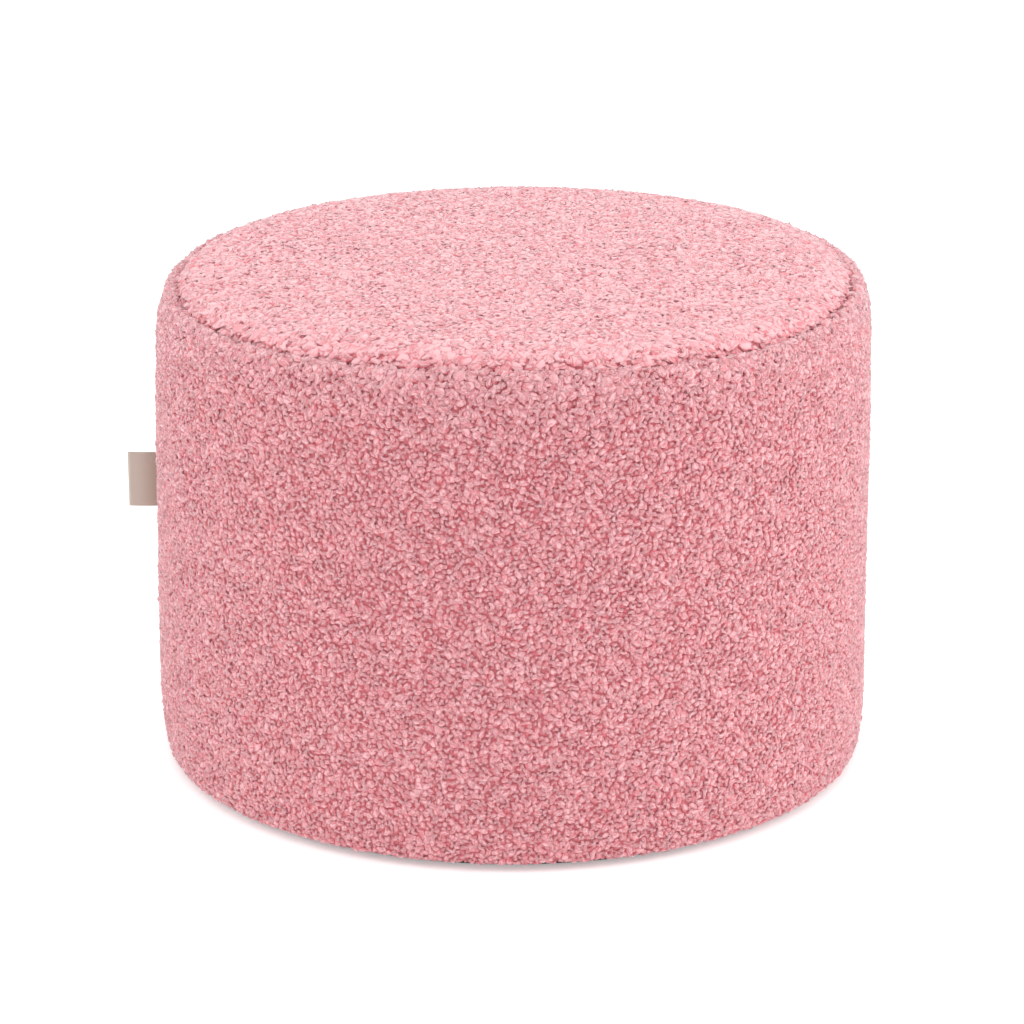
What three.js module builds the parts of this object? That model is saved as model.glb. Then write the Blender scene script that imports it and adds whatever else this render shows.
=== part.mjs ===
// A round children's pouf in curly boucle: a filled drum inside its side panel, a crowned top panel, a
// plain base panel and a bare folded tape in the side seam.
// Millimetres, +Z up. The origin is the middle of the base on the floor, and the tape points to -X.
// Every outline runs over the tips of the pile.
import * as THREE from 'three';
import { mergeVertices } from 'three/addons/utils/BufferGeometryUtils.js';

// Overall sizes
const DIAMETER = 450;
const HEIGHT = 315;
const LEAN = 1.5; // how far the filling has settled towards +X, floor to crown
const FIT = 0.3; // space that sewn neighbours keep
const COLUMNS = 96; // columns of faces round the drum

const RADIUS = DIAMETER / 2;

// Side panel: insets are measured in from the widest radius
const WALL = [
  { place: 'foot', inset: 0, z: 34 },
  { place: 'lower', inset: 0.5, z: 95 },
  { place: 'middle', inset: 1.2, z: 155 },
  { place: 'upper', inset: 1.5, z: 218 },
  { place: 'shoulder', inset: 3.4, z: 276 },
];
const WALL_STEPS = 7;
const FOOT = { wide: 5.8, low: 1.2, steps: 6 }; // the edge that draws in towards the base
const SHOULDER = { wide: 10.5, tall: 30, steps: 7 }; // the soft roll below the top seam
const LIP = { wide: 4, tall: 5, steps: 4 }; // the roll turning down into the crease

// Top panel
const TOP_UNDER = 296; // height of its hidden underside
const RIM = { wide: 14, tall: 10, steps: 6 }; // its soft rolled rim
const TUCK = { wide: 2.4, tall: 3, steps: 2 }; // where the rim turns under into the crease
const CROWN = 2; // rise from the rim to the middle
const CROWN_STEPS = 5;

// Base panel
const BASE = { radius: 211, thick: 8, edge: 3, edgeSteps: 3 };

// Upright seam of the side panel, which holds the tape
const SEAM = { depth: 3, low: 6, high: 300, fade: 16, power: 2, zone: 6 };
const SEAM_FLOOR_COLUMNS = 1; // columns each side of the middle that stay at full depth
const SEAM_SIDE = Math.PI; // the side the seam is on, -X

// Folded tape
const TAPE = { tall: 35.2, beyond: 18.1, layer: 0.9, space: 0.4, middle: 172.1, steps: 6 };
const TAPE_DROOP = THREE.MathUtils.degToRad(2.2); // its upright edges stay upright

// Hand-sewn unevenness: waves round the drum, by how many times they go round. They grow between two
// heights, given as shares of the whole, and are nil at the floor.
const SIDE_WAVES = [
  { times: 2, size: 0.2, turn: -1.3 },
  { times: 3, size: 1.2, turn: 2.1 },
  { times: 5, size: 0.2, turn: 4.4 },
];
const TOP_WAVES = [
  { times: 1, size: 2.1, turn: -0.9 },
  { times: 2, size: 0.7, turn: 2.5 },
  { times: 3, size: 1.6, turn: -1.3 },
  { times: 4, size: 0.3, turn: 1.2 },
];
const SIDE_GROWS = { from: 0, to: 0.35 };
const TOP_GROWS = { from: 0.6, to: 0.92 };
// The crease is pulled deeper on the -X front quarter
const CREASE_PULL = { towards: THREE.MathUtils.degToRad(215), share: 0.5, wide: 0.8, drop: 1.2 };
const CREASE_BAND = { r: 213, z: 305, spread: 9 }; // where the pull acts in the section

const BOUCLE = new THREE.MeshStandardMaterial({ color: 0xe0909a, roughness: 0.95, metalness: 0 });
const BOUCLE_TOP = new THREE.MeshStandardMaterial({ color: 0xf0a8ae, roughness: 0.95, metalness: 0 });
const UNDERSIDE = new THREE.MeshStandardMaterial({ color: 0x5b5254, roughness: 0.9, metalness: 0 });
const TAPE_CLOTH = new THREE.MeshStandardMaterial({ color: 0xcdb8ab, roughness: 0.7, metalness: 0 });

const smooth = (from, to, value) => THREE.MathUtils.smoothstep(value, from, to);

function waves(rows, angle) {
  return rows.reduce((sum, w) => sum + w.size * Math.cos(w.times * angle + w.turn), 0);
}

// Points of an ellipse's arc in the section plane, from one angle to another, both ends included.
function arc(centreR, centreZ, wide, tall, from, to, steps) {
  const curve = new THREE.EllipseCurve(centreR, centreZ, wide, tall, from, to, to < from);
  return curve.getPoints(steps);
}

// The wall's outline, foot to shoulder.
function wallCurve() {
  return new THREE.SplineCurve(WALL.map((row) => new THREE.Vector2(RADIUS - row.inset, row.z)));
}

// The wall's radius at a height between foot and shoulder.
function wallRadius(z) {
  const points = wallCurve().getPoints(WALL_STEPS);
  const above = points.findIndex((point) => point.y > z);
  const [under, over] = [points[above - 1], points[above]];
  return THREE.MathUtils.mapLinear(z, under.y, over.y, under.x, over.x);
}

// Unevenness at a point of the drum, given by its section place and its angle round the axis. It is the
// same for every piece, so the sewn neighbours keep their space.
function uneven(r, z, angle) {
  const side = smooth(SIDE_GROWS.from, SIDE_GROWS.to, z / HEIGHT);
  const top = smooth(TOP_GROWS.from, TOP_GROWS.to, z / HEIGHT);
  const pull = smooth(-CREASE_PULL.share, 1, Math.cos(angle - CREASE_PULL.towards));
  const near = Math.hypot(r - CREASE_BAND.r, z - CREASE_BAND.z) / CREASE_BAND.spread;
  const lip = pull * (1 - smooth(0, 1, near));
  const share = r / RADIUS;
  return {
    r: r + share * side * waves(SIDE_WAVES, angle) + lip * CREASE_PULL.wide,
    z: z + share * share * top * waves(TOP_WAVES, angle) - lip * CREASE_PULL.drop,
  };
}

// Columns near the upright seam are drawn together, so that its narrow trough has faces of its own.
function gathered(angle) {
  const pitch = (2 * Math.PI) / COLUMNS;
  const zone = SEAM.zone * pitch;
  const away = Math.atan2(Math.sin(angle - SEAM_SIDE), Math.cos(angle - SEAM_SIDE));
  if (Math.abs(away) >= zone) return { angle, trough: 0 };
  const column = Math.abs(away) / pitch;
  const trough = 1 - smooth(SEAM_FLOOR_COLUMNS, SEAM_FLOOR_COLUMNS + 1, column);
  const drawn = Math.sign(away) * zone * (Math.abs(away) / zone) ** SEAM.power;
  return { angle: SEAM_SIDE + drawn, trough };
}

// How much of the seam's depth a height has.
function seamShare(z) {
  return smooth(SEAM.low, SEAM.low + SEAM.fade, z) * (1 - smooth(SEAM.high - SEAM.fade, SEAM.high, z));
}

// Turns a section about the axis and gives the result the drum's unevenness and lean. Only the side
// panel, told by seamed, has the upright seam.
function turned(section, seamed) {
  const lathe = new THREE.LatheGeometry(section, COLUMNS);
  lathe.rotateX(Math.PI / 2);
  lathe.deleteAttribute('normal');
  lathe.deleteAttribute('uv');
  const place = lathe.attributes.position;
  for (let i = 0; i < place.count; i += 1) {
    const r = Math.hypot(place.getX(i), place.getY(i));
    const z = place.getZ(i);
    const column = gathered(Math.atan2(place.getY(i), place.getX(i)));
    const at = uneven(r, z, column.angle);
    const outside = smooth(BASE.radius + FOOT.wide / 2, RADIUS - FOOT.wide / 2, r);
    const trough = seamed ? column.trough * outside * seamShare(z) * SEAM.depth : 0;
    const radius = at.r - trough;
    const x = radius * Math.cos(column.angle) + (LEAN * z) / HEIGHT;
    place.setXYZ(i, x, radius * Math.sin(column.angle), at.z);
  }
  const merged = mergeVertices(lathe, 1e-3);
  merged.computeVertexNormals();
  return merged;
}

function sidePanel() {
  const foot = WALL[0];
  const shoulder = WALL[WALL.length - 1];
  const footR = RADIUS - foot.inset - FOOT.wide;
  const lipR = RADIUS - shoulder.inset - SHOULDER.wide;
  const lipZ = shoulder.z + SHOULDER.tall;
  const section = [
    new THREE.Vector2(0, BASE.thick + FIT),
    new THREE.Vector2(BASE.radius + FIT, BASE.thick + FIT),
    new THREE.Vector2(BASE.radius + FIT, BASE.edge + FOOT.low),
    ...arc(footR, foot.z, FOOT.wide, foot.z - FOOT.low, -Math.PI / 2, 0, FOOT.steps).slice(0, -1),
    ...wallCurve().getPoints(WALL_STEPS).slice(0, -1),
    ...arc(lipR, shoulder.z, SHOULDER.wide, SHOULDER.tall, 0, Math.PI / 2, SHOULDER.steps),
    ...arc(lipR, lipZ - LIP.tall, LIP.wide, LIP.tall, Math.PI / 2, Math.PI, LIP.steps).slice(1),
    new THREE.Vector2(lipR - LIP.wide, TOP_UNDER - FIT),
    new THREE.Vector2(0, TOP_UNDER - FIT),
  ];
  return turned(section, true);
}

function topPanel() {
  const shoulder = WALL[WALL.length - 1];
  const outer = RADIUS - shoulder.inset - SHOULDER.wide - LIP.wide - FIT;
  const rimTop = HEIGHT - CROWN;
  const rimZ = rimTop - RIM.tall;
  const flatR = outer - RIM.wide;
  const tuckR = outer - TUCK.wide;
  const crown = [];
  for (let i = 1; i <= CROWN_STEPS; i += 1) {
    const share = 1 - i / CROWN_STEPS;
    crown.push(new THREE.Vector2(flatR * share, rimTop + CROWN * (1 - share * share)));
  }
  const section = [
    new THREE.Vector2(0, TOP_UNDER),
    ...arc(tuckR, TOP_UNDER + TUCK.tall, TUCK.wide, TUCK.tall, -Math.PI / 2, 0, TUCK.steps),
    ...arc(flatR, rimZ, RIM.wide, RIM.tall, 0, Math.PI / 2, RIM.steps),
    ...crown,
  ];
  return turned(section, false);
}

function basePanel() {
  const { radius, thick, edge, edgeSteps } = BASE;
  const section = [
    new THREE.Vector2(0, 0),
    ...arc(radius - edge, edge, edge, edge, -Math.PI / 2, 0, edgeSteps),
    new THREE.Vector2(radius, thick),
    new THREE.Vector2(0, thick),
  ];
  return turned(section, false);
}

// The tape seen from above: two layers that meet in a round fold at the outer end. Its open end lies in
// the trough of the side seam.
function labelTab() {
  const half = TAPE.layer + TAPE.space / 2;
  const hollow = TAPE.space / 2;
  const tip = -(RADIUS + TAPE.beyond);
  const widest = wallRadius(TAPE.middle - TAPE.tall / 2);
  const root = -(widest + waves(SIDE_WAVES, SEAM_SIDE) - SEAM.depth + FIT);
  const bend = tip + half;
  const outline = new THREE.Shape();
  outline.moveTo(root, half);
  outline.lineTo(bend, half);
  outline.absarc(bend, 0, half, Math.PI / 2, (3 * Math.PI) / 2, false);
  outline.lineTo(root, -half);
  outline.lineTo(root, -hollow);
  outline.lineTo(bend, -hollow);
  outline.absarc(bend, 0, hollow, (3 * Math.PI) / 2, Math.PI / 2, true);
  outline.lineTo(root, hollow);
  outline.closePath();
  const options = { depth: TAPE.tall, bevelEnabled: false, curveSegments: TAPE.steps };
  const tape = new THREE.ExtrudeGeometry(outline, options);
  tape.translate(-root, 0, -TAPE.tall / 2);
  tape.applyMatrix4(new THREE.Matrix4().makeShear(0, Math.tan(TAPE_DROOP), 0, 0, 0, 0));
  tape.translate(root + (LEAN * TAPE.middle) / HEIGHT, 0, TAPE.middle);
  return tape;
}

const group = new THREE.Group();

function add(name, geometry, material) {
  const mesh = new THREE.Mesh(geometry, material);
  mesh.name = name;
  group.add(mesh);
}

add('side_panel', sidePanel(), BOUCLE);
add('top_panel', topPanel(), BOUCLE_TOP);
add('base_panel', basePanel(), UNDERSIDE);
add('label_tab', labelTab(), TAPE_CLOTH);

export default group;
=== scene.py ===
import math

import bpy
import numpy as np
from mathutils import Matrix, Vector
from mathutils.kdtree import KDTree


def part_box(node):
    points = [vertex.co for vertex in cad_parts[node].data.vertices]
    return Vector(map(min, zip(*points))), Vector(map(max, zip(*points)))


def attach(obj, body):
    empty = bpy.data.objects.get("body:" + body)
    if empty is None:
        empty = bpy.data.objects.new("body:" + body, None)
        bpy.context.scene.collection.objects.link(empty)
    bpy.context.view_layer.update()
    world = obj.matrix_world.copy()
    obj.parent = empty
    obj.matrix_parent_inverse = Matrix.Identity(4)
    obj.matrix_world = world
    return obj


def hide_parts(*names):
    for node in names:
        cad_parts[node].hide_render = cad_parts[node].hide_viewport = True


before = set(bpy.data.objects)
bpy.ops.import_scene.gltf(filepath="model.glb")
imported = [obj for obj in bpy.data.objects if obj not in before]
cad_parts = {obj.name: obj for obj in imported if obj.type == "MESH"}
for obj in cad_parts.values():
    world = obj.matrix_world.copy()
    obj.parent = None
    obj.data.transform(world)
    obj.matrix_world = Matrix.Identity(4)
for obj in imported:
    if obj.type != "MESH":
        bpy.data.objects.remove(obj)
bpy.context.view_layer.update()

# A round pouf in curly pile cloth. Metres, +Z up, the origin in the middle of the base, the tape on -X.
MM = 0.001
SIDE_LOW, SIDE_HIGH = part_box("side_panel")
TOP_LOW, TOP_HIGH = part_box("top_panel")
BASE_LOW, BASE_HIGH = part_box("base_panel")
TAPE_LOW, TAPE_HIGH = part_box("label_tab")
RADIUS = (SIDE_HIGH.y - SIDE_LOW.y) / 2
HEIGHT = TOP_HIGH.z
TOP_RADIUS = (TOP_HIGH.y - TOP_LOW.y) / 2
BASE_RADIUS = (BASE_HIGH.y - BASE_LOW.y) / 2

# Camera, fitted to the pouf's outline in the photo
PHOTO_SIDE = 1024
CAMERA_TURNED_DOWN = math.radians(18.6)
CAMERA_AWAY = 10.54 * RADIUS
CAMERA_AIM = 0.49 * HEIGHT
FOCAL_PIXELS = 3757
CENTRE_PIXEL = (512.8, 504.8)
SENSOR = 36

# Floor and light
FLOOR_SIZE = 12
WORLD_LIGHT = 0.97
LAMPS = {
    "overhead_light": dict(place=(-0.1, -0.2, 2.3), aim=(0, 0, 0.2), size=1.8, power=9.5),
    "right_light": dict(place=(1.9, -0.3, 0.9), aim=(0, 0, 0.15), size=1.2, power=12),
    "left_light": dict(place=(-1.9, -0.2, 0.9), aim=(0, 0, 0.15), size=1.2, power=6),
}

# Cloth under the pile. It lies deeper than the solid's face by the pile, and swells back up to its cap. At
# the sewn crease it has only a share of that depth: enough to clear the other cloth, and the pile still
# closes it.
SLACK = 0.4 * MM
CLOTH = {
    "side": dict(voxel=5 * MM, keep=0.36, fill=0.9, pile=2.4 * MM),
    "top": dict(voxel=5 * MM, keep=0.45, fill=0.9, pile=1.3 * MM),
}
CREASE_DEPTH = 0.55
CREASE_REACH = 14 * MM
# The crease's height is taken as this far under the highest point of the side
CREASE_DOWN = 4 * MM
SWELL_STEPS = 20
PRESSURE = 4
TINY = 1e-9
# How much is held while the cloths swell: of the side's foot, past the crease, and of the top's lower rim
FOOT_HELD = 10 * MM
EDGE_HELD = 2 * MM
RIM_HELD = 8 * MM

# Pile. spacings: the least distance between two large locks, and between a small lock and any other. size:
# of the locks, as a share of the table's. softness: how far their normals turn to the way that the lock
# faces. curls: how many creases they have, as a share. pale: how soon they turn pale above their roots.
# tone: how pale a lock is, which varies at random from lock to lock. The top's higher pale and tone are
# painted sheen where light grazes it, and the side's locks turn as pale as the top's towards the sewn
# crease.
PILE = {
    "side": dict(spacings=(3.8 * MM, 2.3 * MM), size=0.96, softness=0.3, curls=1, pale=1.2, tone_and_painted_sheen=0.25),
    "top": dict(spacings=(4.6 * MM, 2.8 * MM), size=1.2, softness=0.52, curls=0.45, pale=2.4, tone_and_painted_sheen=0.53),
}
TONE_VARIES = 0.25
SIZE_VARIES = (0.85, 1.15)
BLEND_REACH = 22 * MM
# Locks are larger near the sewn crease, and the large ones further apart, by this share at most
PLUMP = 0.25
PLUMP_REACH = 50 * MM
# Places tried for each square of the small locks' spacing
TRIES = 7
# Where the pile starts: inside the crease, above the floor, and above the lower edge of the top
PILE_INSIDE = 1 * MM
PILE_OFF_FLOOR = 1 * MM
PILE_OFF_RIM = 3.5 * MM
# No point of a lock goes lower than this
LOWEST_LOCK = 0.2 * MM
# The way that locks face at the crease: outwards and up
CREASE_OUT = 0.5
CREASE_UP = 0.87
# The cloth under the locks has one loft and tone, and its strands are this wide. Its low loft gives it the
# roots' painted shade.
CLOTH_LOFT = 0.2
CLOTH_TONE = 0.3
CLOTH_STRAND = 2.2 * MM

# The pile's material. Each span is where a value starts to show and where it shows in full.
# The roots' deeper red and the creases' red are painted shade.
TIP_SPAN = (0.0, 0.9)
SHEEN_SPAN = (0.2, 0.9)
PALE_SPAN = (0.2, 1)
CREASE_SPAN = (0.0, 0.1)
PALE_HIDES = 0.6
TONE_SHOWS = 0.5
CREASE_SHADE_SHOWS = 0.65
ROOT_SHEEN = 0.5
TIP_SHEEN = 1

# Base, with the groove of its sewn row
BASE_EDGE = 2.5 * MM
ROW_IN = 9 * MM
ROW_WIDE = 1 * MM
ROW_DEEP = 0.8 * MM
# A face counts as flat when its normal is upright by more than this share
FLAT = 0.99

# Tape
TAPE_LAYER = 0.6 * MM
TAPE_APART = 0.5 * MM
TAPE_EDGE = 0.12 * MM
# The solid tape droops, so its box is this much taller than the tape
TAPE_DROOP = 0.7 * MM
TAPE_SWAY = 0.5 * MM
TAPE_STEPS_ALONG = 32
TAPE_STEPS_UP = 8
# Where its painted shade starts and where it is full, counted from its fold: it is darker towards the pouf
TAPE_SHADED = (4 * MM, 19 * MM)


def choose(piece):
    bpy.ops.object.select_all(action="DESELECT")
    piece.select_set(True)
    bpy.context.view_layer.objects.active = piece


def edit_all():
    """Edit mode, with the whole of the active piece selected."""
    bpy.ops.object.mode_set(mode="EDIT")
    bpy.ops.mesh.select_all(action="SELECT")


def end_edit():
    bpy.ops.object.mode_set(mode="OBJECT")


def apply_all(piece):
    choose(piece)
    for modifier in list(piece.modifiers):
        bpy.ops.object.modifier_apply(modifier=modifier.name)


def vertex_places(mesh):
    places = np.empty(len(mesh.vertices) * 3)
    mesh.vertices.foreach_get("co", places)
    return places.reshape(-1, 3)


def spread(places):
    """How far each place is from the upright line through the middle."""
    return np.hypot(places[:, 0], places[:, 1])


class Wire:
    """An output socket that can be worked with in an expression."""

    def __init__(self, board, socket):
        self.board, self.socket = board, socket

    def _math(self, operation, *values):
        return self.board.add("ShaderNodeMath", {"operation": operation}, dict(enumerate(values)))

    def __add__(self, other):
        return self._math("ADD", self, other)

    def __sub__(self, other):
        return self._math("SUBTRACT", self, other)

    def __rsub__(self, other):
        return self._math("SUBTRACT", other, self)

    def __mul__(self, other):
        return self._math("MULTIPLY", self, other)

    def __abs__(self):
        return self._math("ABSOLUTE", self)

    def step(self, low, high):
        """0 up to low, 1 from high on, smooth between."""
        settings = {"interpolation_type": "SMOOTHSTEP"}
        values = {"Value": self, "From Min": low, "From Max": high}
        return self.board.add("ShaderNodeMapRange", settings, values, out="Result")


class Board:
    """A material's node tree, with one method that adds any node."""

    def __init__(self, name):
        self.material = bpy.data.materials.new(name)
        self.material.use_nodes = True
        self.tree = self.material.node_tree
        self.tree.nodes.clear()

    def add(self, kind, settings=None, values=None, out=0):
        node = self.tree.nodes.new(kind)
        for name, value in (settings or {}).items():
            setattr(node, name, value)
        for name, value in (values or {}).items():
            socket = node.inputs[name]
            if isinstance(value, Wire):
                self.tree.links.new(value.socket, socket)
            else:
                socket.default_value = value
        return Wire(self, node.outputs[out]) if len(node.outputs) else node

    def attribute(self, name, out="Fac"):
        return self.add("ShaderNodeAttribute", {"attribute_name": name}, out=out)

    def place(self):
        return self.add("ShaderNodeTexCoord", out="Object")

    def noise(self, place, scale, detail=2, distortion=0.0):
        values = {"Vector": place, "Scale": scale, "Detail": detail, "Distortion": distortion}
        return self.add("ShaderNodeTexNoise", None, values)

    def mix(self, share, first, second):
        return self.add("ShaderNodeMix", {"data_type": "RGBA"}, {0: share, 6: first, 7: second}, out=2)

    def bump(self, height, depth, strength=1.0, over=None):
        values = {"Height": height, "Distance": depth, "Strength": strength}
        if over:
            values["Normal"] = over
        return self.add("ShaderNodeBump", None, values, out="Normal")

    def shader(self, **inputs):
        values = {name.replace("_", " "): value for name, value in inputs.items()}
        return self.add("ShaderNodeBsdfPrincipled", None, values)

    def mix_shaders(self, share, first, second):
        return self.add("ShaderNodeMixShader", None, {0: share, 1: first, 2: second})

    def finish(self, shader):
        self.add("ShaderNodeOutputMaterial", None, {"Surface": shader})
        return self.material


def colour(red, green, blue):
    """A colour as a picture shows it, 0 to 255, turned into the linear values that a shader takes."""
    def linear(value):
        share = value / 255
        return share / 12.92 if share <= 0.04045 else ((share + 0.055) / 1.055) ** 2.4
    return (linear(red), linear(green), linear(blue), 1)


def boucle():
    """Pink curly pile, pale at the tips, with painted shade: deeper and redder towards the roots and in the
    creases between strands, which are fainter in pale locks. The roots have less sheen than the tips, so the
    gaps between locks stay red."""
    root_shade_pink, tip_pink = colour(234, 112, 125), colour(240, 182, 187)
    pale_pink, crease_shade_red = colour(238, 199, 201), colour(216, 90, 105)
    board = Board("boucle")
    strand = board.attribute("strand", "Vector")
    swirl = board.noise(strand, scale=1.5, detail=1, distortion=0.8)
    tone_and_painted_sheen = board.attribute("tone_and_painted_sheen")
    faint = tone_and_painted_sheen.step(*PALE_SPAN) * PALE_HIDES
    crease = 1 - (1 - abs(swirl - 0.5).step(*CREASE_SPAN)) * (1 - faint)
    fibres = board.noise(board.place(), scale=2600)
    loft = board.attribute("loft")
    # Painted shade: deeper and redder towards the roots
    body = board.mix(loft.step(*TIP_SPAN), root_shade_pink, tip_pink)
    # Paler locks: tone that varies at random, and on the top painted sheen
    lock = board.mix(tone_and_painted_sheen * TONE_SHOWS, body, pale_pink)
    # Painted shade in the creases between strands
    shade = board.mix((1 - crease) * CREASE_SHADE_SHOWS, lock, crease_shade_red)
    fuzz = board.bump(fibres, depth=0.15 * MM, strength=0.3)
    folds = board.bump(crease, depth=0.35 * MM, over=fuzz)
    root, tip = [board.shader(Base_Color=shade, Roughness=0.9, Normal=folds, Specular_IOR_Level=0.05,
                              Sheen_Weight=sheen, Sheen_Roughness=0.35, Sheen_Tint=(1, 0.94, 0.95, 1))
                 for sheen in (ROOT_SHEEN, TIP_SHEEN)]
    return board.finish(board.mix_shaders(loft.step(*SHEEN_SPAN) * crease, root, tip))


def underside():
    """Plain dark close cloth under the pouf."""
    dark, worn_dark = colour(58, 54, 55), colour(88, 82, 84)
    board = Board("underside")
    place = board.place()
    across, along = [board.add("ShaderNodeTexWave", {"bands_direction": way},
                               {"Vector": place, "Scale": 400, "Distortion": 1}) for way in "XY"]
    weave = across * along
    worn = board.noise(place, scale=30, detail=4)
    shade = board.mix(weave * 0.5 + worn * 0.5, dark, worn_dark)
    relief = board.bump(weave, depth=0.25 * MM, strength=0.6)
    return board.finish(board.shader(Base_Color=shade, Roughness=0.85, Normal=relief,
                                     Specular_IOR_Level=0.25))


def satin():
    """Beige tape with a fine close weave, and painted shade: a little darker towards its sewn end by the
    pouf.
    """
    beige, shaded_beige, thread_beige = colour(183, 171, 160), colour(166, 147, 134), colour(196, 184, 172)
    board = Board("satin_tape")
    place = board.place()
    grain = board.add("ShaderNodeMapping", None, {"Vector": place, "Scale": (500, 500, 2400)})
    threads = board.noise(grain, scale=1)
    along = board.add("ShaderNodeSeparateXYZ", None, {0: place}, out="X")
    # Painted shade, growing towards the sewn end by the pouf
    sewn = along.step(*[TAPE_LOW.x + far for far in TAPE_SHADED])
    shade = board.mix(sewn, beige, shaded_beige)
    shade = board.mix(threads * 0.3, shade, thread_beige)
    relief = board.bump(threads, depth=0.1 * MM, strength=0.4)
    return board.finish(board.shader(Base_Color=shade, Roughness=0.5, Normal=relief, Sheen_Weight=0.15,
                                     Specular_IOR_Level=0.4))


# Cloth under the pile
def soft_form(node, name, voxel, keep, fill, pile, sewn, material):
    """A solid's form as cloth over filling: remeshed, drawn in by the pile, then swollen and thinned out."""
    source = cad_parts[node]
    piece = source.copy()
    piece.data = source.data.copy()
    for key in list(piece.keys()):
        del piece[key]
    piece.parent = None
    piece.name = piece.data.name = name
    bpy.context.scene.collection.objects.link(piece)
    piece.hide_render = piece.hide_viewport = False
    choose(piece)
    edit_all()
    bpy.ops.mesh.remove_doubles(threshold=0.01 * MM)
    end_edit()
    remesh = piece.modifiers.new("Voxels", "REMESH")
    remesh.mode = "VOXEL"
    remesh.voxel_size = voxel
    apply_all(piece)
    depth = piece.vertex_groups.new(name="depth")
    for index, share in enumerate(from_crease(vertex_places(piece.data), CREASE_REACH)):
        depth.add([index], CREASE_DEPTH + (1 - CREASE_DEPTH) * share, "REPLACE")
    shrink = piece.modifiers.new("Inset", "DISPLACE")
    shrink.vertex_group = depth.name
    shrink.strength = -(pile + SLACK)
    shrink.mid_level = 0
    apply_all(piece)
    piece.vertex_groups.clear()
    swell(piece, sewn, cap=2 * SLACK)
    thin = piece.modifiers.new("Thin", "DECIMATE")
    thin.ratio = keep
    apply_all(piece)
    bpy.ops.object.shade_smooth()
    piece.data.materials.clear()
    piece.data.materials.append(material)
    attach(piece, "root")
    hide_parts(node)
    return piece


def from_crease(places, reach):
    """0 at the sewn crease, growing to 1 at the reach."""
    away = np.hypot(spread(places) - TOP_RADIUS, places[:, 2] - SIDE_HIGH.z + CREASE_DOWN)
    share = np.clip(away / reach, 0, 1)
    return share * share * (3 - 2 * share)


def plumpness(places):
    """How much larger the locks are at each place."""
    return 1 + PLUMP * (1 - from_crease(places, PLUMP_REACH))


def swell(piece, sewn, cap):
    """Blows the cloth up from inside. Sewn points stay, and no point goes further than the cap, which
    shrinks to nothing at the sewn crease, so that the two cloths stay apart there."""
    before = vertex_places(piece.data)
    held = piece.vertex_groups.new(name="sewn")
    held.add([int(i) for i in np.flatnonzero(sewn(before))], 1.0, "REPLACE")
    cloth = piece.modifiers.new("Cloth", "CLOTH")
    cloth.settings.vertex_group_mass = held.name
    cloth.settings.use_pressure = True
    cloth.settings.uniform_pressure_force = PRESSURE
    cloth.settings.effector_weights.gravity = 0
    cloth.collision_settings.use_collision = False
    for step in range(1, SWELL_STEPS + 1):
        bpy.context.scene.frame_set(step)
    apply_all(piece)
    bpy.context.scene.frame_set(1)
    piece.vertex_groups.clear()
    way = vertex_places(piece.data) - before
    length = np.linalg.norm(way, axis=1, keepdims=True)
    free = cap * from_crease(before, CREASE_REACH)[:, None]
    after = before + way * np.minimum(1, free / np.maximum(length, TINY))
    piece.data.vertices.foreach_set("co", after.ravel())
    piece.data.update()


# Pile: each lock is a small closed shape, bent and turned, that sits on the cloth and meets the next
def primitive_shape():
    """The points and triangles of the primitive just made, which is then taken away."""
    piece = bpy.context.object
    edit_all()
    bpy.ops.mesh.quads_convert_to_tris()
    end_edit()
    points = vertex_places(piece.data)
    tris = np.array([face.vertices[:] for face in piece.data.polygons])
    bpy.data.objects.remove(piece)
    return points, tris


def knob_shape():
    """A round lock of twenty faces. Its strands run along X."""
    bpy.ops.mesh.primitive_ico_sphere_add(subdivisions=1, radius=1)
    points, tris = primitive_shape()
    return points, tris, points * (0.5, 1, 1)


def bud_shape():
    """A lock of eight faces, for the gaps between the larger ones."""
    points = np.array([(1, 0, 0), (0, 1, 0), (-1, 0, 0), (0, -1, 0), (0, 0, 1), (0, 0, -1)], float)
    tris = [(i, (i + 1) % 4, 4) for i in range(4)] + [((i + 1) % 4, i, 5) for i in range(4)]
    return points, np.array(tris), points * (0.5, 1, 1)


def hook_shape():
    """A lock curled to a bit more than half a turn, thinner at its ends."""
    rings, sides = 4, 4
    reach = 0.62
    drop = 0.2
    sweep = 3.6
    tip = 2.1
    thin, thicker = 0.40, 0.10
    strand_pace, strand_tip = 0.35, 0.8
    share = (np.arange(rings) + 0.5) / rings
    angle = (share - 0.5) * sweep
    wide = thin + thicker * np.sin(np.pi * share)
    turn = (np.arange(sides) + 0.5) * 2 * np.pi / sides
    out = reach + wide[:, None] * np.cos(turn)
    tube = np.stack([out * np.sin(angle)[:, None], out * np.cos(angle)[:, None] - drop,
                     wide[:, None] * np.sin(turn)], 2).reshape(-1, 3)
    ends = [[reach * math.sin(a), reach * math.cos(a) - drop, 0] for a in (-tip, tip)]
    points = np.concatenate([tube, ends])
    first, last = rings * sides, rings * sides + 1
    tris = []
    for k in range(sides):
        near = (k + 1) % sides
        tris.append((first, near, k))
        for ring in range(rings - 1):
            a, b = ring * sides + k, ring * sides + near
            tris += [(a, b, b + sides), (a, b + sides, a + sides)]
        tris.append((last, first - sides + k, first - sides + near))
    flow = np.stack([np.repeat(angle * strand_pace, sides), np.tile(np.cos(turn), rings),
                     np.tile(np.sin(turn), rings)], 1)
    return points, np.array(tris), np.concatenate([flow, [[-strand_tip, 0, 0], [strand_tip, 0, 0]]])


KNOB, BUD, HOOK = knob_shape(), bud_shape(), hook_shape()
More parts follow.
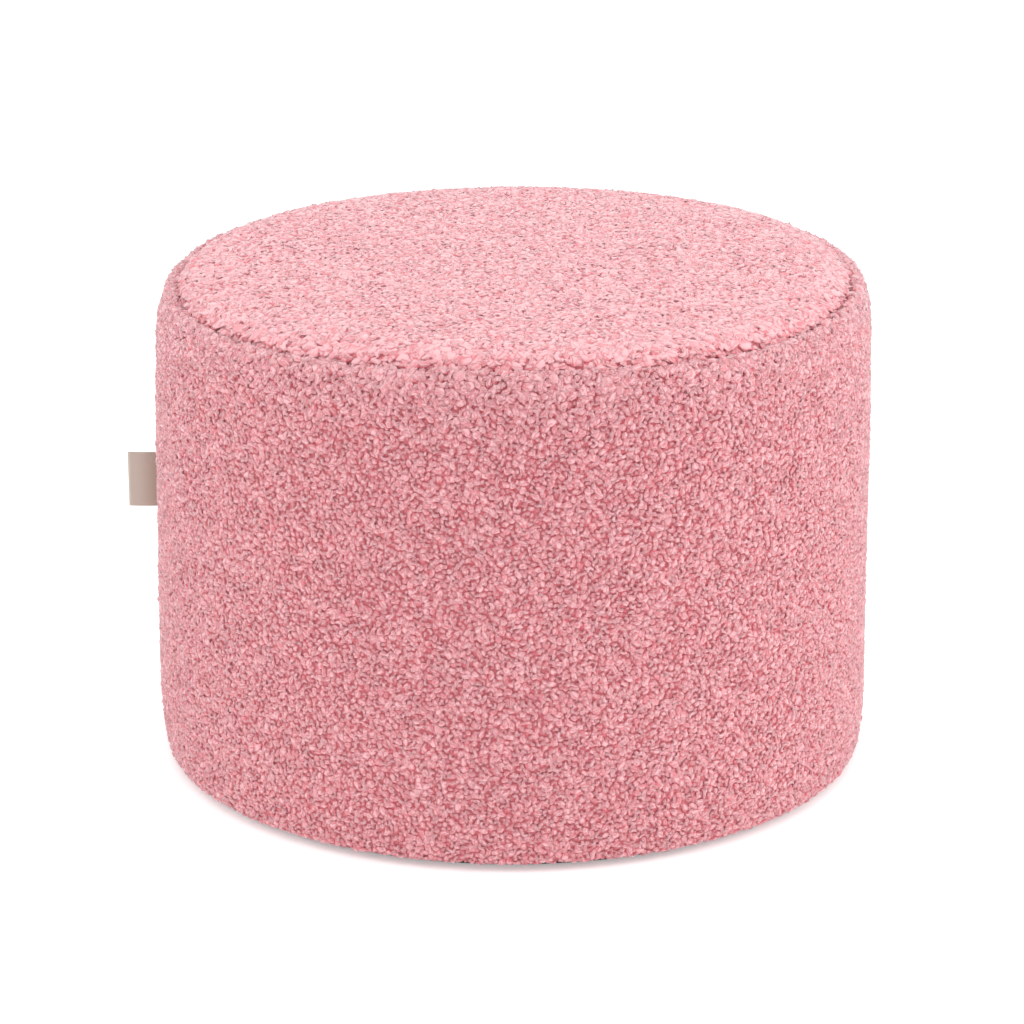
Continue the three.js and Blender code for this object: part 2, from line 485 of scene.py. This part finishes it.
# Half sizes and lift in mm, lean in radians, bend in 1/mm. Heights and lift are for a pile TALLEST deep.
TALLEST = 2.5
LARGE = [
    dict(shape=KNOB, share=0.78, long=(2.7, 3.7), wide=(2.0, 2.7), tall=(1.6, 2.1),
         lift=(0.0, 0.5), lean=0.2, bend=0.12),
    dict(shape=HOOK, share=0.22, long=(2.5, 3.3), wide=(2.5, 3.3), tall=(2.8, 3.3),
         lift=(0.3, 0.8), lean=0.2, bend=0),
]
SMALL = [
    dict(shape=BUD, share=1, long=(2.2, 3.4), wide=(1.5, 2.2), tall=(1.5, 2.0),
         lift=(0.1, 0.6), lean=0.3, bend=0.08),
]
# A bent lock is moved back by this share of its bend, so that it stays over its root
BEND_LEVEL = 0.4
# Where a lock faces up or down by more than this share, its sideways is worked out from X, not from Z
STEEP = 0.8
# Each lock reads the noise of its creases at a place of its own within this range
STRAND_RANGE = 40


def scatter(cloth, spacings, shown, rng):
    """Places on the shown part of a soft form with the ways their locks face, one set for each spacing. No
    place is nearer to another of its set, or of a set before it, than the set's spacing. At the sewn crease
    the locks of both sides turn up and outwards, so that they meet over it."""
    mesh = cloth.data
    mesh.calc_loop_triangles()
    corners = np.array([t.vertices[:] for t in mesh.loop_triangles])
    points = vertex_places(mesh)
    normals = np.array([v.normal[:] for v in mesh.vertices])
    a, b, c = [points[corners[:, i]] for i in range(3)]
    area = np.linalg.norm(np.cross(b - a, c - a), axis=1) / 2
    area *= shown((a + b + c) / 3)
    count = int(area.sum() / spacings[-1] ** 2 * TRIES)
    pick = rng.choice(len(corners), count, p=area / area.sum())
    u, v = rng.uniform(0, 1, (2, count))
    u, v = np.where(u + v > 1, 1 - u, u), np.where(u + v > 1, 1 - v, v)
    share = np.stack([1 - u - v, u, v], 1)[..., None]
    spots = (points[corners[pick]] * share).sum(1)
    facing = (normals[corners[pick]] * share).sum(1)
    outward = spots[:, :2] / spread(spots)[:, None]
    upward = np.column_stack([outward * CREASE_OUT, np.full(count, CREASE_UP)])
    close = 1 - from_crease(spots, CREASE_REACH)[:, None]
    facing = facing * (1 - close) + upward * close
    facing /= np.linalg.norm(facing, axis=1, keepdims=True)
    tree = KDTree(count)
    for i, spot in enumerate(spots):
        tree.insert(spot, i)
    tree.balance()
    room = plumpness(spots)
    taken, sets = [], []
    for spacing in spacings:
        free = np.ones(count, bool)
        for i in taken:
            free[[near for _, near, _ in tree.find_range(spots[i], spacing * room[i])]] = False
        kept = []
        for i in range(count):
            if free[i]:
                kept.append(i)
                free[[near for _, near, _ in tree.find_range(spots[i], spacing * room[i])]] = False
        room = np.ones(count)
        taken += kept
        sets.append((spots[kept], facing[kept]))
    return sets


def between(rng, limits, count):
    return rng.uniform(*limits, count)[:, None]


def locks(kind, roots, facing, size, pile, look, rng):
    """The points and triangles of one kind of lock, one at each root, with each point's loft, tone, strand
    and the way that its lock faces."""
    shape, tris, flow = kind["shape"]
    count = len(roots)
    half = [between(rng, kind[key], count) * size[:, None] for key in ("long", "wide", "tall")]
    x, y, z = [shape[None, :, i] * half[i] for i in range(3)]
    bend = rng.uniform(-1, 1, count)[:, None] * kind["bend"]
    y = y + bend * (x * x - half[0] ** 2 * BEND_LEVEL)
    lean, tip = rng.normal(0, kind["lean"], (2, count, 1))
    x, z = x * np.cos(lean) - z * np.sin(lean), x * np.sin(lean) + z * np.cos(lean)
    y, z = y * np.cos(tip) - z * np.sin(tip), y * np.sin(tip) + z * np.cos(tip)
    z = (z + between(rng, kind["lift"], count)) * plumpness(roots)[:, None] * pile / TALLEST
    steep = np.abs(facing[:, 2:]) > STEEP
    side = np.cross(facing, np.where(steep, [[1.0, 0, 0]], [[0, 0, 1.0]]))
    side /= np.linalg.norm(side, axis=1, keepdims=True)
    turn = rng.uniform(0, 2 * np.pi, count)[:, None]
    u = side * np.cos(turn) + np.cross(facing, side) * np.sin(turn)
    v = np.cross(facing, u)
    steps = ((x * MM, u), (y * MM, v), (z, facing))
    points = sum(far[..., None] * way[:, None] for far, way in steps) + roots[:, None]
    points[..., 2] = np.maximum(points[..., 2], LOWEST_LOCK)
    away = from_crease(roots, BLEND_REACH)
    pale, tone_and_painted_sheen = [PILE["top"][key] * (1 - away) + look[key] * away for key in ("pale", "tone_and_painted_sheen")]
    loft = np.clip(z / pile * pale[:, None], 0, 1)
    tone_and_painted_sheen = np.repeat(tone_and_painted_sheen + rng.uniform(-TONE_VARIES, TONE_VARIES, count), len(shape))
    strand = flow * look["curls"] + rng.uniform(0, STRAND_RANGE, (count, 1, 3))
    faces = tris + np.arange(count)[:, None, None] * len(shape)
    faced = np.repeat(facing, len(shape), axis=0)
    return points.reshape(-1, 3), faces.reshape(-1, 3), loft.ravel(), tone_and_painted_sheen, strand.reshape(-1, 3), faced


def mark(mesh, loft, tone_and_painted_sheen, strand):
    """What the pile's material reads at each point: its height in the pile, from which it paints shade
    towards the roots; its lock's tone, partly at random and partly painted sheen on the top; and its place
    along and across the lock."""
    for label, form, field, values in (("loft", "FLOAT", "value", loft), ("tone_and_painted_sheen", "FLOAT", "value", tone_and_painted_sheen),
                                       ("strand", "FLOAT_VECTOR", "vector", strand)):
        attribute = mesh.attributes.new(label, form, "POINT")
        attribute.data.foreach_set(field, values.astype(np.float32).ravel())


def soften(mesh, facing, softness):
    """Turns each point's normal towards the way that its lock faces, because light passes through such
    loose curls."""
    own = np.empty(len(facing) * 3)
    mesh.vertex_normals.foreach_get("vector", own)
    turned = own.reshape(-1, 3) * (1 - softness) + facing * softness
    turned /= np.linalg.norm(turned, axis=1, keepdims=True)
    mesh.normals_split_custom_set_from_vertices(turned)


def join(name, parts, softness, material):
    """Makes one piece of many locks."""
    starts = np.cumsum([0] + [len(part[0]) for part in parts])
    points, loft, tone_and_painted_sheen, strand, facing = [np.concatenate([part[i] for part in parts])
                                          for i in (0, 2, 3, 4, 5)]
    tris = np.concatenate([part[1] + start for part, start in zip(parts, starts)])
    mesh = bpy.data.meshes.new(name)
    mesh.vertices.add(len(points))
    mesh.vertices.foreach_set("co", points.astype(np.float32).ravel())
    mesh.loops.add(tris.size)
    mesh.loops.foreach_set("vertex_index", tris.astype(np.int32).ravel())
    mesh.polygons.add(len(tris))
    mesh.polygons.foreach_set("loop_start", np.arange(0, tris.size, 3, dtype=np.int32))
    mesh.update(calc_edges=True)
    mesh.polygons.foreach_set("use_smooth", np.ones(len(tris), bool))
    soften(mesh, facing, softness)
    mark(mesh, loft, tone_and_painted_sheen, strand)
    mesh.materials.append(material)
    piece = bpy.data.objects.new(name, mesh)
    bpy.context.scene.collection.objects.link(piece)
    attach(piece, "root")


def dress(names, cloth, pile, look, shown, seed, material):
    """Covers the shown part of a soft form with pile, in one piece for each name, side by side round the
    pouf."""
    rng = np.random.default_rng(seed)
    places = vertex_places(cloth.data)
    plain = np.ones(len(places))
    mark(cloth.data, plain * CLOTH_LOFT, plain * CLOTH_TONE, places / CLOTH_STRAND)
    sets = scatter(cloth, look["spacings"], shown, rng)
    for number, name in enumerate(names):
        parts = []
        for (roots, facing), kinds in zip(sets, (LARGE, SMALL)):
            turn = np.arctan2(roots[:, 1], roots[:, 0]) / (2 * np.pi) + 0.5
            mine = np.minimum((turn * len(names)).astype(int), len(names) - 1) == number
            pick = rng.choice(len(kinds), len(roots), p=[kind["share"] for kind in kinds])
            sizes = look["size"] * rng.uniform(*SIZE_VARIES, len(roots)) * plumpness(roots)
            for index, kind in enumerate(kinds):
                chosen = mine & (pick == index)
                parts.append(locks(kind, roots[chosen], facing[chosen], sizes[chosen], pile, look, rng))
        join(name, parts, look["softness"], material)


pile_cloth = boucle()
side_cloth = soft_form("side_panel", "side_cloth", **CLOTH["side"], material=pile_cloth,
                       sewn=lambda p: (p[:, 2] < FOOT_HELD) | (spread(p) < TOP_RADIUS + EDGE_HELD))
top_cloth = soft_form("top_panel", "top_cloth", **CLOTH["top"], material=pile_cloth,
                      sewn=lambda p: p[:, 2] < TOP_LOW.z + RIM_HELD)
dress([f"side_pile_{i}" for i in range(1, 5)], side_cloth, CLOTH["side"]["pile"], PILE["side"],
      shown=lambda p: (spread(p) > TOP_RADIUS - PILE_INSIDE) & (p[:, 2] > PILE_OFF_FLOOR),
      seed=11, material=pile_cloth)
dress(["top_pile_1", "top_pile_2"], top_cloth, CLOTH["top"]["pile"], PILE["top"],
      shown=lambda p: p[:, 2] > TOP_LOW.z + PILE_OFF_RIM, seed=23, material=pile_cloth)


def base_cloth():
    """The plain round underside, with a soft edge and a row sewn near it."""
    thick = BASE_HIGH.z - BASE_LOW.z
    bpy.ops.mesh.primitive_cylinder_add(vertices=96, radius=BASE_RADIUS, depth=thick, end_fill_type="NGON",
                                        location=(BASE_LOW.x + BASE_RADIUS, 0, BASE_LOW.z + thick / 2))
    piece = bpy.context.object
    piece.name = piece.data.name = "base_cloth"
    bpy.ops.object.transform_apply(location=True)
    edit_all()
    bpy.ops.mesh.bevel(offset=BASE_EDGE, segments=3, affect="EDGES")
    bpy.ops.mesh.select_all(action="DESELECT")
    end_edit()
    for face in piece.data.polygons:
        face.select = face.normal.z < -FLAT
    bpy.ops.object.mode_set(mode="EDIT")
    bpy.ops.mesh.inset(thickness=ROW_IN)
    for depth in (-ROW_DEEP, ROW_DEEP):
        bpy.ops.mesh.inset(thickness=ROW_WIDE, depth=depth)
    end_edit()
    bpy.ops.object.shade_smooth_by_angle(angle=math.radians(40))
    piece.data.materials.append(underside())
    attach(piece, "root")
    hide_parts("base_panel")


def label_tape():
    """A tape folded in two, sewn in at its ends and bare on its faces."""
    tall = TAPE_HIGH.z - TAPE_LOW.z
    depth = TAPE_HIGH.x - TAPE_LOW.x
    middle = (TAPE_LOW + TAPE_HIGH) / 2
    half = (TAPE_LAYER + TAPE_APART) / 2
    straight = depth - half - TAPE_LAYER / 2
    length = 2 * straight + math.pi * half
    bpy.ops.mesh.primitive_grid_add(x_subdivisions=TAPE_STEPS_ALONG, y_subdivisions=TAPE_STEPS_UP, size=1)
    piece = bpy.context.object
    piece.name = piece.data.name = "label_tape"
    for vertex in piece.data.vertices:
        run = (vertex.co.x + 0.5) * length
        turn = min(max((run - straight) / half, 0), math.pi)
        flat = min(run, straight) - max(run - straight - math.pi * half, 0)
        x = -flat - half * math.sin(turn)
        y = half * math.cos(turn)
        sway = TAPE_SWAY * math.sin(flat / straight * math.pi)
        up = vertex.co.y * (tall - TAPE_DROOP)
        vertex.co = (TAPE_HIGH.x + x, middle.y + y - sway, middle.z + up)
    wall = piece.modifiers.new("Cloth", "SOLIDIFY")
    wall.thickness = TAPE_LAYER
    wall.offset = 0
    soft = piece.modifiers.new("Edges", "BEVEL")
    soft.width = TAPE_EDGE
    soft.segments = 2
    apply_all(piece)
    bpy.ops.object.shade_smooth_by_angle(angle=math.radians(50))
    piece.data.materials.append(satin())
    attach(piece, "root")
    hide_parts("label_tab")


base_cloth()
label_tape()


# Floor, light and camera
def floor():
    bpy.ops.mesh.primitive_plane_add(size=FLOOR_SIZE)
    piece = bpy.context.object
    piece.name = "floor"
    board = Board("pale_floor")
    pale = board.shader(Base_Color=(0.94, 0.94, 0.94, 1), Roughness=0.9, Emission_Color=(1, 1, 1, 1),
                        Emission_Strength=0.3, Specular_IOR_Level=0.1)
    piece.data.materials.append(board.finish(pale))


def lamp(name, place, aim, size, power):
    data = bpy.data.lights.new(name, "AREA")
    data.shape, data.size, data.energy = "DISK", size, power
    light = bpy.data.objects.new(name, data)
    light.location = place
    light.rotation_euler = (Vector(aim) - Vector(place)).to_track_quat("-Z", "Y").to_euler()
    bpy.context.scene.collection.objects.link(light)


def studio():
    world = bpy.data.worlds.new("studio")
    world.use_nodes = True
    background = world.node_tree.nodes["Background"].inputs
    background["Color"].default_value = (1, 1, 1, 1)
    background["Strength"].default_value = WORLD_LIGHT
    bpy.context.scene.world = world
    for name, settings in LAMPS.items():
        lamp(name, **settings)
    bpy.context.scene.view_settings.view_transform = "Standard"


def photo_camera():
    data = bpy.data.cameras.new("camera")
    data.sensor_width = SENSOR
    data.lens = SENSOR * FOCAL_PIXELS / PHOTO_SIDE
    data.shift_x = (PHOTO_SIDE / 2 - CENTRE_PIXEL[0]) / PHOTO_SIDE
    data.shift_y = (CENTRE_PIXEL[1] - PHOTO_SIDE / 2) / PHOTO_SIDE
    camera = bpy.data.objects.new("camera", data)
    back = Vector((0, -math.cos(CAMERA_TURNED_DOWN), math.sin(CAMERA_TURNED_DOWN)))
    camera.location = Vector((0, 0, CAMERA_AIM)) + back * CAMERA_AWAY
    camera.rotation_euler = (-back).to_track_quat("-Z", "Y").to_euler()
    bpy.context.scene.collection.objects.link(camera)
    bpy.context.scene.camera = camera


floor()
studio()
photo_camera()
